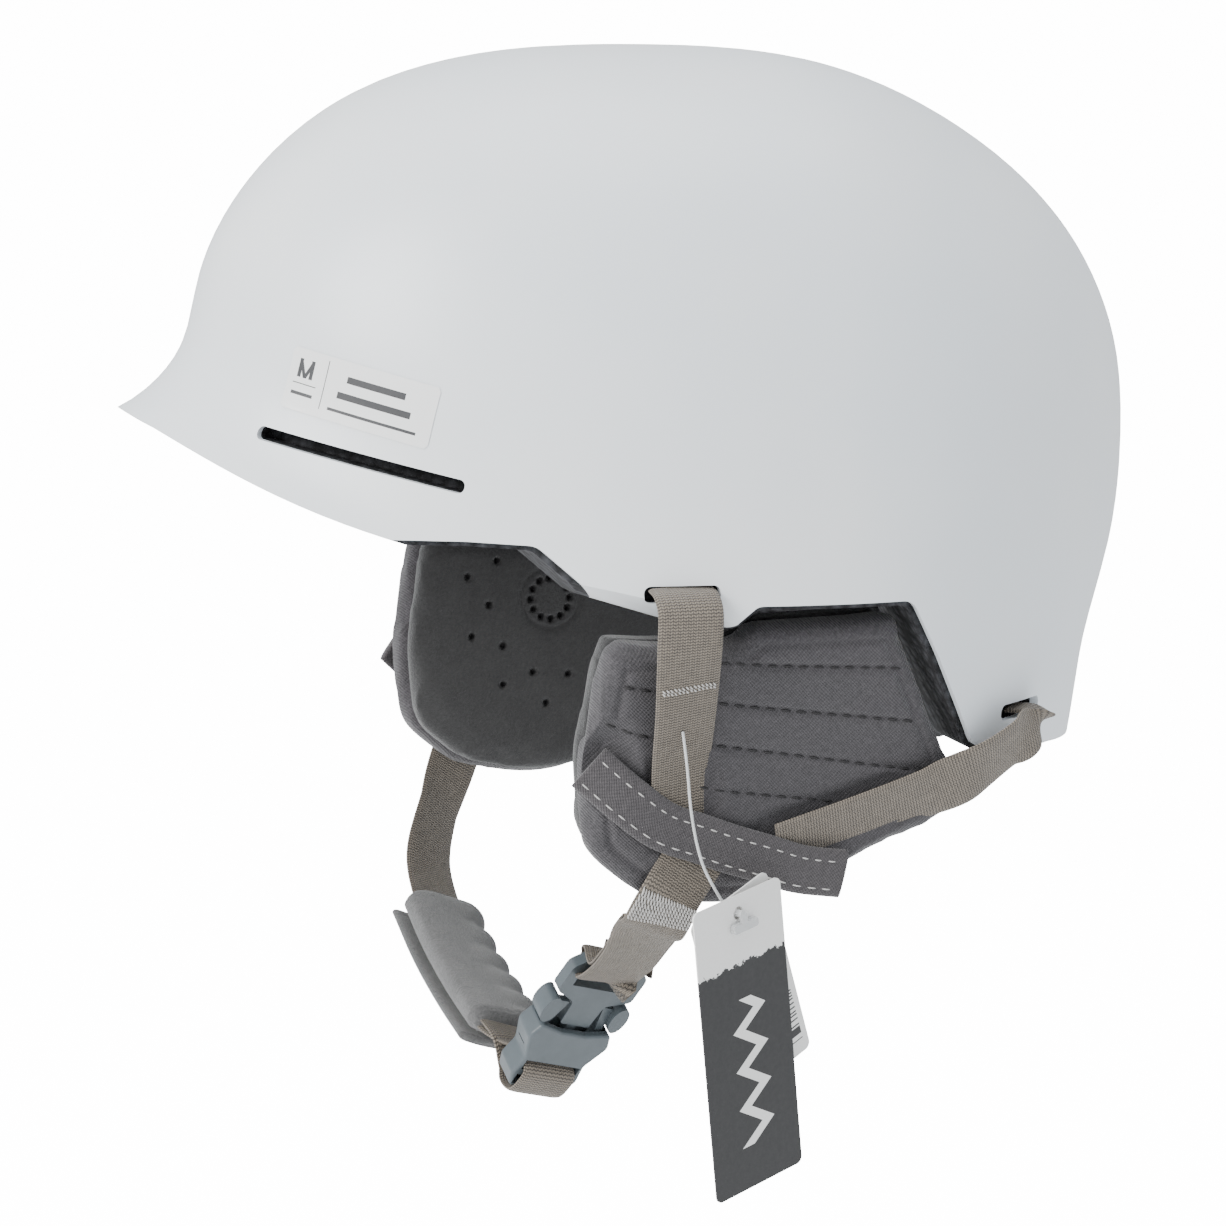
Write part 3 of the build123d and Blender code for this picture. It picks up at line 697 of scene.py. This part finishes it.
# quilting seams on the pad's outer face, front to rear
SEAMS = [smooth_path([(0, y, z) for y, z in line], 1.0)[0] for line in (
    [(-50, 6.2), (-44.5, 4.7), (-34.7, 1.6), (-14.5, -3.3), (36.8, -7.9), (60, -10)],
    [(-50, -6.6), (-43.7, -7.9), (-34.2, -9.8), (-15.1, -14.3), (37.7, -22.5), (60, -26)],
    [(-50, -17), (-46.6, -18), (-34.5, -22.4), (-14.5, -26.2), (38.5, -36), (60, -40)],
    [(-50, -28.5), (-34, -33.5), (-13.9, -38.5), (23.2, -44.5), (50, -49)])]
SLEEVE_PATH = [(-49.5, -30), (-39.5, -39.3), (-29.8, -46.7), (-20, -50.7), (-10.3, -54.6),
               (-0.4, -58.1), (9.5, -61.7), (22, -64)]
SLEEVE_LIFTS = [-1.0, 3.2] + [4.0] * 6
SLEEVE = [on_ear(y, z, lift) for (y, z), lift in zip(SLEEVE_PATH, SLEEVE_LIFTS)]
SLEEVE_WIDTHS = [(0.12, 0.35, 1)] * len(SLEEVE)
FRONT_STRAP = [(104.6, -27, 17.5), (109.5, -27, 16.2), (112.6, -27, 12.5), (112.2, -27, 4),
               (106, -25.8, -14), on_ear(-24.6, -34, 1.3), on_ear(-24.2, -45, 1.3)]
FRONT_WIDTHS = [(0, 1, 0)] * 4 + [(-0.15, 0.98, 0)] + [(-0.25, 0.97, 0)] * 2
REAR_STRAP = [(84.5, 75.5, -24), (90, 80.5, -24.3), (94, 80, -27), (97.3, 72, -31),
              (100.2, 59, -37.5), on_ear(46, -43, 2.6), on_ear(28, -49, 1.8),
              on_ear(4, -56, 1.4)]
REAR_WIDTHS = ([(-0.7, 0.7, 0.1), (-0.7, 0.7, 0.1), (-0.3, 0.4, 0.8)]
               + [(0.35, 0.2, 0.9)] * 2 + [(0.45, 0.15, 0.88)] * 3)


def ear_coordinates(points):
    """Across, up and depth in the ear pad's plane."""
    reach = points - EAR_MID
    return np.stack([reach[:, 1], reach @ EAR_UP], 1), reach @ EAR_OUT


def seam_height(y, index):
    """Height of a quilting seam on the pad's outer face."""
    line = SEAMS[index]
    return np.interp(y, line[:, 1], line[:, 2])


def press_under(flat, depth, path, width, lowest, slack=0.5):
    """Limits depth where a strap on the pad presses it in."""
    line, along = ear_coordinates(np.array(path))
    line = smooth_path(np.column_stack([line, along]), 1.5)[0]
    reach = np.linalg.norm(flat[:, None] - line[None, :, :2], axis=2)
    nearest = reach.argmin(1)
    gap = np.maximum(reach.min(1) - width / 2, 0)
    limit = line[nearest, 2] - lowest + gap * slack
    return np.minimum(depth, np.where(depth > 3, limit, depth))


def make_ear_pad(materials):
    """Grey twill over foam, quilted, with a turned edge; pressed in under its straps."""
    pad = inflated("ear_pad_left", "ear_cover_left", materials["ear_twill"], 2.8, 4.0, 1.8, 2)
    points = points_of(pad.data)
    flat, depth = ear_coordinates(points)
    edge = edge_distance(flat, EAR_OUTLINE)
    edge = np.where(inside_polygon(flat, EAR_OUTLINE), edge, 0.0)
    outer = ease(depth, 3.0, 7.0)
    sunk = 0.8 * np.exp(-((edge - BINDING) / 1.0) ** 2)
    panel = ease(edge, BINDING - 0.5, BINDING + 1.0)
    for index in range(len(SEAMS)):
        gap = points[:, 2] - seam_height(points[:, 1], index)
        sunk = np.maximum(sunk, 1.1 * panel * np.exp(-(gap / 1.1) ** 2))
    new_depth = depth - sunk * outer
    new_depth = press_under(flat, new_depth, FRONT_STRAP[4:], WEB_WIDTH, 1.1)
    new_depth = press_under(flat, new_depth, SLEEVE, 13, 2.6)
    new_depth = press_under(flat, new_depth, REAR_STRAP[5:], WEB_WIDTH, 1.1)
    put_points(pad.data, points + EAR_OUT * (new_depth - depth)[:, None])
    store_pattern(pad, np.column_stack([flat, edge]))
    return pad


def seat_on(tree, y, z):
    """Where a line straight in at that y and z meets the ear cover, and its normal."""
    start = Vector(np.array(on_ear(y, z, 0)) + EAR_OUT * 30) * MM
    place, normal, _, _ = tree.ray_cast(start, Vector(-EAR_OUT))
    return (None, None) if place is None else (np.array(place) / MM, np.array(normal))


def tree_of(piece):
    graph = bpy.context.evaluated_depsgraph_get()
    graph.update()
    return BVHTree.FromObject(piece, graph)


def make_ear_seams(pad, materials):
    """Dark thread along the quilting seams, 3.2 mm stitches."""
    tree = tree_of(pad)
    seats = []
    for index in range(len(SEAMS)):
        y = -50.0
        while y < 62:
            ends = []
            for at in (y, y + 3.2):
                z = seam_height(at, index)
                place, normal = seat_on(tree, at, z)
                if place is not None:
                    flat, _ = ear_coordinates(place[None])
                    if (inside_polygon(flat, EAR_OUTLINE)[0]
                            and edge_distance(flat, EAR_OUTLINE)[0] > 2.5):
                        ends.append((place, normal))
            if len(ends) == 2:
                seats.append((ends[0][0], ends[1][0], ends[0][1]))
            y += 4.4
    return capsule_row("ear_seams_left", seats, materials["dark_thread"], 0.3)


LINING_HOLES = [(-30.3, -8.3), (-20.9, -3.9), (-24.0, -17.0), (-29.8, -26.3), (-20.1, -29.6),
                (-11.0, -38.0), (0.2, -39.2), (-20.6, -41.3), (-7.2, -47.6)]
LINING_RING = (-4.6, -16.0)


def hole_centres():
    holes = list(LINING_HOLES)
    for k in range(12):
        turn = 2 * math.pi * k / 12
        holes.append((LINING_RING[0] + 6.2 * math.cos(turn), LINING_RING[1] + 6.2 * math.sin(turn)))
    return np.array(holes)


def make_lining(materials):
    """Fleece side of the ear pad, punched with holes for hearing."""
    lining = inflated("ear_lining_left", "ear_fleece_left", materials["lining"],
                      2.4, 4.0, 1.2, 2)
    points = points_of(lining.data)
    flat, depth = ear_coordinates(points)
    nearest = np.linalg.norm(points[:, None, 1:] - hole_centres()[None], axis=2).min(1)
    inner = 1 - ease(depth, -6.0, -4.0)
    sunk = 2.0 * (1 - ease(nearest, 0.7, 1.4)) * inner
    ring = np.linalg.norm(points[:, 1:] - np.array(LINING_RING), axis=1)
    sunk += 0.5 * np.exp(-((ring - 9.2) / 0.7) ** 2) * inner
    put_points(lining.data, points + EAR_OUT * sunk[:, None])
    # the third coordinate is each point's distance to the nearest hole, 9 away from the inner face;
    # the lining material uses it to paint the shade inside the holes
    store_pattern(lining, np.column_stack([flat, np.where(inner > 0.5, nearest, 9.0)]))
    return lining


def make_ear_flaps(materials):
    pad = make_ear_pad(materials)
    lining = make_lining(materials)
    sleeve = ribbon("strap_band_left", SLEEVE, SLEEVE_WIDTHS, materials["sleeve_twill"],
                    13.6, 2.4, cup=0.5)
    rows = []
    for offset in (-4.3, 3.6):
        rows += row_on_ribbon(SLEEVE, SLEEVE_WIDTHS, offset, 1.45, 2.6, 1.5, 1.5)
    band_rows = capsule_row("strap_band_rows_left", rows, materials["pale_thread"], 0.22)
    seams = make_ear_seams(pad, materials)
    for piece, node in ((pad, "ear_pad"), (lining, "ear_lining"), (sleeve, "strap_sleeve"),
                        (seams, None), (band_rows, None)):
        twin = mirrored_copy(piece, piece.name.replace("left", "right"))
        for side, made in (("left", piece), ("right", twin)):
            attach(made, side + "_ear_flap")
            if node:
                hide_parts(node + "_" + side)


# ---------------------------------------------------------------- webbing on the helmet

def tack_seats(points, widths, at, lift, rows=2, pitch=1.1, width=15.0, slant=0.5):
    """Close zigzag stitches across a strap."""
    path, across, face, run = ribbon_frame(points, widths, 0.4)

    def spot(s, v, up):
        return np.array([np.interp(s, run, (path + face * up)[:, k]) for k in range(3)]) + \
            np.array([np.interp(s, run, across[:, k]) for k in range(3)]) * v
    out = np.array([np.interp(at, run, face[:, k]) for k in range(3)]) * math.copysign(1, lift)
    seats = []
    for row in range(rows):
        v = -width / 2
        while v < width / 2:
            s = at + row * 0.9 + DICE.uniform(-0.15, 0.15)
            seats.append((spot(s - slant, v, lift), spot(s + slant, v + pitch * 0.8, lift), out))
            v += pitch
    return seats


def make_front_strap(materials):
    strap = ribbon("front_webbing_left", FRONT_STRAP, FRONT_WIDTHS, materials["webbing"])
    tack = capsule_row("front_tack_left", tack_seats(FRONT_STRAP, FRONT_WIDTHS, 31.0, 0.8),
                       materials["pale_thread"], 0.25)
    for piece in (strap, tack):
        twin = mirrored_copy(piece, piece.name.replace("left", "right"))
        for side, sign, made in (("left", 1, piece), ("right", -1, twin)):
            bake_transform(made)
            if piece is strap:
                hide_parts("front_strap_" + side)


def make_rear_strap(materials):
    strap = ribbon("rear_webbing_left", REAR_STRAP, REAR_WIDTHS, materials["webbing"],
                   gather=(0.42, 6.0, 22.0))
    tack = capsule_row("rear_tack_left", tack_seats(REAR_STRAP, REAR_WIDTHS, 34.0, 0.8),
                       materials["pale_thread"], 0.25)
    for piece in (strap, tack):
        twin = mirrored_copy(piece, piece.name.replace("left", "right"))
        for side, sign, made in (("left", 1, piece), ("right", -1, twin)):
            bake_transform(made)
            if piece is strap:
                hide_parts("rear_strap_" + side)


# ---------------------------------------------------------------- buckle frame and chin straps

BUCKLE_AT = np.array((19.5, -39.0, -132.6))
BUCKLE_ACROSS = np.array((-0.263, 0.916, -0.291))
BUCKLE_ACROSS /= np.linalg.norm(BUCKLE_ACROSS)
BUCKLE_OUT = np.cross(BUCKLE_ACROSS, (0.449, 0.384, 0.806))
BUCKLE_OUT /= np.linalg.norm(BUCKLE_OUT)
BUCKLE_ALONG = np.cross(BUCKLE_OUT, BUCKLE_ACROSS)
ACROSS = tuple(BUCKLE_ACROSS)


def buckle_point(x, y, z):
    return tuple(BUCKLE_AT + BUCKLE_ACROSS * x + BUCKLE_ALONG * y + BUCKLE_OUT * z)


LEFT_CHIN = [on_ear(-18.2, -54.9, 1.4), on_ear(-22.9, -61.8, 1.8), on_ear(-27.1, -68.2, 2.8),
             (88.5, -28.5, -76.5), (78, -27.5, -81), (66, -25.5, -88), (51, -25.5, -98),
             (41, -26.5, -103.5)]
LEFT_WIDTHS = [(-0.07, 0.84, -0.53)] * 3 + [(-0.1, 0.92, -0.45), (-0.2, 0.9, -0.4)]
LEFT_WIDTHS += [ACROSS] * 3
RIGHT_START = [(-x, y, z) for x, y, z in (on_ear(-25, -46, 1.4), on_ear(-27, -57, 1.5))]
CHIN_PAD_PATH = [(-62.6, -45.5, -104.8), (-42, -45.3, -113.5), (-20, -44.5, -120.5),
                 (2, -43.5, -126)]
RIGHT_CHIN = (RIGHT_START + [(-94.2, -31, -67), (-87, -38, -80), (-76, -44.5, -94)]
              + CHIN_PAD_PATH + [(9, -42.5, -128.8)])
RIGHT_WIDTHS = ([(0, 1, 0)] * 2 + [(-0.35, 0.93, 0), (-0.6, 0.8, 0), (-0.55, 0.83, -0.1),
                                   (-0.4, 0.88, -0.25), (-0.3, 0.9, -0.3)] + [ACROSS] * 3)


def beside(points, widths, shift, lift):
    """The path moved across by shift and off its face by lift."""
    path, across, face, run = ribbon_frame(points, widths, 2.0)
    return [tuple(p) for p in path + across * shift + face * lift], [tuple(a) for a in across]


def make_left_chin_strap(materials):
    """Doubled webbing: down the front, round the tongue's bar and back up behind itself."""
    turn = [buckle_point(0, 46.5, 4.1), buckle_point(0, 41.0, 3.3), buckle_point(0, 36.6, 2.4),
            buckle_point(0, 34.6, 0.0), buckle_point(0, 36.6, -2.6), buckle_point(0, 41.5, -3.6)]
    front = LEFT_CHIN + turn
    widths = LEFT_WIDTHS + [ACROSS] * len(turn)
    back_points, back_widths = beside(LEFT_CHIN[3:], LEFT_WIDTHS[3:], 0.8, -2.1)
    back_points = back_points[::-1][4::4]
    back_widths = back_widths[::-1][4::4]
    strap = ribbon("chin_webbing_left", front + back_points, widths + back_widths,
                   materials["webbing"])
    tack = []
    for at in np.arange(16.0, 24.0, 1.3):
        tack += tack_seats(LEFT_CHIN, LEFT_WIDTHS, at, 0.8, 1, 0.9, 17.0, 0.9)
    tack = capsule_row("chin_tack_left", tack, materials["pale_thread"], 0.3)
    for piece in (strap, tack):
        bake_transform(piece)
    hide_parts("left_chin_strap")


def make_right_chin_strap(materials):
    """Single webbing down to the pad and through it, then round the socket's ladder and back."""
    turn = [buckle_point(0, -6.5, -4.6), buckle_point(0, -8.6, -0.5), buckle_point(0, -7.0, 4.6),
            buckle_point(0, -2.5, 5.9), buckle_point(0, 1.3, 5.4), buckle_point(0, 2.6, 1.0),
            buckle_point(0, 2.4, -3.5), buckle_point(0, -1.0, -7.4)]
    back_points, back_widths = beside(RIGHT_CHIN[6:], RIGHT_WIDTHS[6:], 0.0, -1.9)
    strap = ribbon("chin_webbing_right", RIGHT_CHIN + turn + back_points[::-1][3::4],
                   RIGHT_WIDTHS + [ACROSS] * len(turn) + back_widths[::-1][3::4],
                   materials["webbing"])
    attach(strap, "chin_strap")
    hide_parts("right_chin_strap")


def make_chin_pad(materials):
    """Fleece tube round the strap, gathered into crescents along one edge, with a loose flap."""
    widths = RIGHT_WIDTHS[5:9]
    path, across, face, run = ribbon_frame(CHIN_PAD_PATH, widths, 0.8)
    ring = 72
    turn = np.linspace(0, 2 * math.pi, ring, endpoint=False)
    c, s = np.cos(turn), np.sin(turn)
    power = 2 / 3.0
    wide = 12.0 * np.sign(c) * np.abs(c) ** power
    tall = 4.6 * np.sign(s) * np.abs(s) ** power
    vertices = []
    for i, at in enumerate(run):
        ripple = 0.5 + 0.5 * math.cos(2 * math.pi * (at - 6) / 12.5)
        ripple = ripple ** 0.6
        bulge = 1.7 * ripple * np.clip(c, 0, 1) ** 0.5 * np.clip(s + 0.75, 0, 1)
        ends = ease(min(at, run[-1] - at), 0, 2.5) * 0.18 + 0.82
        ring_points = (path[i] + across[i] * ((wide + bulge * 0.9 * c) * ends)[:, None]
                       + face[i] * ((tall + bulge * 1.3 * s) * ends)[:, None])
        vertices.extend(ring_points)
    faces = []
    for i in range(len(run) - 1):
        for j in range(ring):
            k = (j + 1) % ring
            faces.append((i * ring + j, i * ring + k, (i + 1) * ring + k, (i + 1) * ring + j))
    faces.append(tuple(range(ring))[::-1])
    faces.append(tuple((len(run) - 1) * ring + j for j in range(ring)))
    pad = link_mesh("chin_fleece", vertices, faces, materials["chin_fleece"])
    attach(pad, "chin_strap")
    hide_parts("chin_pad")
    flap_points, flap_widths = beside(CHIN_PAD_PATH, widths, -4.0, -6.6)
    flap = ribbon("chin_fleece_flap", flap_points[::3], flap_widths[::3],
                  materials["chin_fleece"], 17, 2.6, cup=-0.6)
    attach(flap, "chin_strap")
    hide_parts("chin_pad_flap")


# ---------------------------------------------------------------- comfort padding

def make_comfort_pads(materials):
    for node, body, voxel in (("brow_pad", "helmet", 4.0), ("crown_pad", "helmet", 5.0),
                              ("side_pad_left", "helmet", 3.5), ("nape_pad", "fit_cradle", 3.5)):
        pad = inflated(node, node.replace("pad", "cushion"), materials["comfort"], voxel,
                       3.0, 1.4, 1)
        made = [(pad, node)]
        if node == "side_pad_left":
            made.append((mirrored_copy(pad, "side_cushion_right"), "side_pad_right"))
        for piece, replaced in made:
            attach(piece, body)
            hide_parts(replaced)


def make_elastic(materials):
    """Woven elastic across the back of the cradle."""
    radius, middle = 75.1, 20.0
    points = []
    for k in range(9):
        turn = math.radians(77 + 26 * k / 8)
        points.append((radius * math.cos(turn), middle + radius * math.sin(turn), -16.5))
    band = ribbon("elastic_webbing", points, [(0, 0, 1)] * len(points), materials["elastic"],
                  6.0, 1.2, 10)
    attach(band, "fit_cradle")
    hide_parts("elastic_band")


# ---------------------------------------------------------------- sticker and hang tag

def grid_faces(rows, columns):
    return [(i * columns + j, i * columns + j + 1, (i + 1) * columns + j + 1,
             (i + 1) * columns + j) for i in range(rows - 1) for j in range(columns - 1)]


def rounded_half(v, top, bottom, half, radius):
    """Half the width of a rounded card at height v."""
    gap = min(top - v, v - bottom)
    if gap >= radius:
        return half
    return half - radius + math.sqrt(max(radius ** 2 - (radius - gap) ** 2, 0))


def make_sticker(materials):
    """Thin film label that follows the shell."""
    shell = tree_of(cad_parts["outer_shell"])
    middle = np.array((61.0, -100.5, 65.5))
    right = np.array((0.703, 0.681, -0.198))
    out = np.array((0.683, -0.66, 0.155))
    out /= np.linalg.norm(out)
    right -= out * right.dot(out)
    right /= np.linalg.norm(right)
    up = np.cross(out, right)
    vertices, pattern = [], []
    rows, columns = 17, 46
    for v in np.linspace(-8.25, 8.25, rows):
        half = rounded_half(v, 8.25, -8.25, 22.5, 0.8)
        for u in np.linspace(-half, half, columns):
            start = middle + right * u + up * v + out * 25
            place, normal, _, _ = shell.ray_cast(Vector(start) * MM, Vector(-out))
            vertices.append(np.array(place) / MM + np.array(normal) * 0.22)
            pattern.append((u, v, 0))
    film = link_mesh("size_label", vertices, grid_faces(rows, columns), materials["label"],
                     pattern)
    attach(film, "helmet")
    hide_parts("size_sticker")


TAG_ROUTE = [(104.5, -26.3, -20.5), (108.3, -26.4, -28), (110.6, -26.2, -41),
             (111.6, -23.8, -54), (112.2, -19.9, -61.8), (109.7, -15.5, -68.0)]


def make_hang_tag(materials):
    """Nylon filament from under the front strap. Its paddle and two cards come from CAD."""
    curve = bpy.data.curves.new("tag_cord", "CURVE")
    curve.dimensions = "3D"
    curve.bevel_depth = 0.4 * MM
    curve.bevel_resolution = 3
    spline = curve.splines.new("NURBS")
    spline.points.add(len(TAG_ROUTE) - 1)
    for point, place in zip(spline.points, TAG_ROUTE):
        point.co = (*[c * MM for c in place], 1)
    spline.order_u = 3
    spline.use_endpoint_u = True
    curve.use_fill_caps = True
    cord = bpy.data.objects.new("tag_cord", curve)
    bpy.context.collection.objects.link(cord)
    curve.materials.append(materials["filament"])
    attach(cord, "hang_tag")
    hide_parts("tag_filament")


# ---------------------------------------------------------------- CAD pieces, floor and light

def dress_cad(materials):
    """Materials for the hard pieces that come straight from CAD."""
    finish = {"outer_shell": "shell", "eps_liner": "foam", "front_strap_anchors": "nylon",
              "rear_strap_anchors": "nylon", "fit_cradle": "nylon", "cradle_guides": "nylon",
              "buckle_socket": "acetal", "buckle_tongue": "acetal",
              "buckle_arm_front": "acetal", "buckle_arm_rear": "acetal",
              "tag_paddle": "filament", "tag_card_front": "front_card",
              "tag_card_back": "back_card"}
    for node, key in finish.items():
        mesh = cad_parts[node].data
        mesh.materials.clear()
        mesh.materials.append(materials[key])


FLOOR_REACH, FLOOR_LEVEL = 40.0, -0.45     # metres
FLOOR_GLOW = 14.0                          # how white the paper looks, without lighting anything


def make_floor():
    material, tree, shader = new_material("pale_floor", Roughness=0.9)
    tone = noise(tree, object_mm(tree), 400)
    tree.links.new(blend_colour(tree, tone, rgb("#F4F4F4"), rgb("#F8F8F8")),
                   shader.inputs["Base Color"])
    seen = add_node(tree, "ShaderNodeLightPath").outputs["Is Camera Ray"]
    shader.inputs["Emission Color"].default_value = (1.0, 1.0, 1.0, 1.0)
    tree.links.new(math_node(tree, "MULTIPLY", seen, FLOOR_GLOW), shader.inputs["Emission Strength"])
    mesh = bpy.data.meshes.new("floor")
    corners = [(x * FLOOR_REACH, y * FLOOR_REACH, FLOOR_LEVEL)
               for x, y in ((-1, -1), (1, -1), (1, 1), (-1, 1))]
    mesh.from_pydata(corners, [], [(0, 1, 2, 3)])
    floor = bpy.data.objects.new("floor", mesh)
    bpy.context.collection.objects.link(floor)
    mesh.materials.append(material)


def add_light(name, place, aim, size, power, colour=(1, 1, 1)):
    data = bpy.data.lights.new(name, "AREA")
    data.shape = "DISK"
    data.size = size
    data.energy = power
    data.color = colour
    lamp = bpy.data.objects.new(name, data)
    bpy.context.collection.objects.link(lamp)
    lamp.location = place
    lamp.rotation_euler = (Vector(aim) - Vector(place)).to_track_quat("-Z", "Y").to_euler()


def light_scene():
    world = bpy.data.worlds.new("studio")
    world.use_nodes = True
    background = world.node_tree.nodes["Background"]
    background.inputs["Color"].default_value = (0.93, 0.965, 1.0, 1.0)
    background.inputs["Strength"].default_value = 1.15
    bpy.context.scene.world = world
    add_light("key", (0.7, -1.9, 1.2), (0, 0, 0.03), 1.2, 62, (1.0, 0.99, 0.97))
    add_light("top", (0.0, 0.2, 2.0), (0, 0, 0), 1.6, 20, (0.95, 0.98, 1.0))


def main():
    place_camera()
    materials = make_materials()
    make_hang_tag(materials)
    make_ear_flaps(materials)
    make_front_strap(materials)
    make_rear_strap(materials)
    make_left_chin_strap(materials)
    make_right_chin_strap(materials)
    make_chin_pad(materials)
    make_comfort_pads(materials)
    make_elastic(materials)
    make_sticker(materials)
    dress_cad(materials)
    make_floor()
    light_scene()


main()
